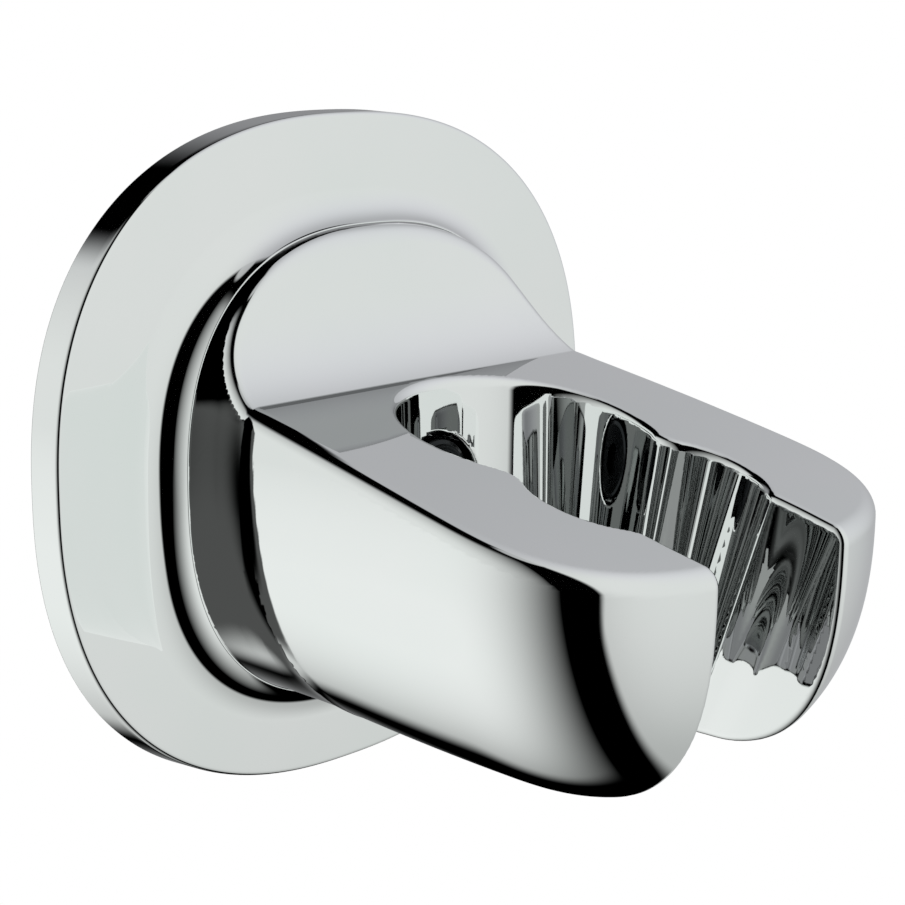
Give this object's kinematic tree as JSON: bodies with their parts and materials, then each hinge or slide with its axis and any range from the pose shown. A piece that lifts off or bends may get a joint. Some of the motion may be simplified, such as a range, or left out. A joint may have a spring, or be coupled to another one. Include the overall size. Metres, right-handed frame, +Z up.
{
  "type": "hand shower holder",
  "caption": "Wall-mounted hand shower holder: chromed arm with a sloping slotted cradle on a rounded plate.",
  "frame": {"origin": "middle of the wall plate's back, on the wall", "axes": "+Y into the wall, -Y along the arm towards the user, +Z up, +X to the right seen from the front"},
  "size_m": [0.067, 0.051, 0.0606],
  "materials": {
    "polished_chrome": "mirror polished plating",
    "zinc_casting": "as cast, matt grey",
    "black_rubber": "matt moulded sheet",
    "brass": "turned",
    "stainless_steel": "satin turned"
  },
  "bodies": {
    "root": {"cover_plate": "polished_chrome", "holder_body": "polished_chrome", "wall_bracket": "zinc_casting", "wall_gasket": "black_rubber", "threaded_insert": "brass", "lock_washer": "stainless_steel", "fixing_screw": "stainless_steel"}
  },
  "joints": []
}
